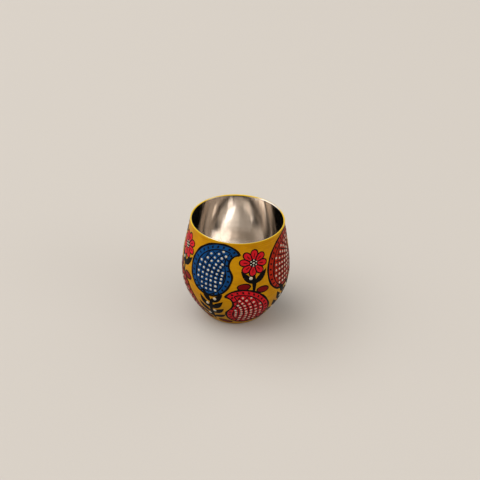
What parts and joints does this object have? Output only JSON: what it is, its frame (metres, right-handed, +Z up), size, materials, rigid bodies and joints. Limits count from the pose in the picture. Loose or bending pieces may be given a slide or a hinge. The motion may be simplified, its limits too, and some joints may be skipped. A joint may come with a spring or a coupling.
{
  "type": "tumbler",
  "caption": "Rounded double-wall stainless steel tea tumbler: polished barrel-shaped inside, plain rounded lip, flat foot ring, outside painted yellow with blue, red and black motifs.",
  "frame": {"origin": "centre of the foot ring, on the surface that the tumbler stands on", "axes": "+Z up along the axis of revolution, -Y towards the camera of the picture"},
  "size_m": [0.08, 0.08, 0.079],
  "materials": {
    "polished_steel": "mirror-polished stainless steel with faint turning marks",
    "satin_steel": "satin spun stainless steel",
    "weld_steel": "ground and polished weld",
    "yellow_enamel": "hand-brushed glossy enamel",
    "blue_enamel": "hand-brushed glossy enamel",
    "crimson_enamel": "hand-brushed glossy enamel",
    "vermilion_enamel": "hand-brushed glossy enamel",
    "black_enamel": "glossy enamel linework",
    "white_enamel": "raised drops of glossy enamel"
  },
  "bodies": {
    "root": {"inner_cup": "polished_steel", "upper_jacket": "satin_steel", "lower_jacket": "satin_steel", "seam_weld": "weld_steel", "lip_weld": "weld_steel", "ground_coat": "yellow_enamel"}
  },
  "joints": []
}
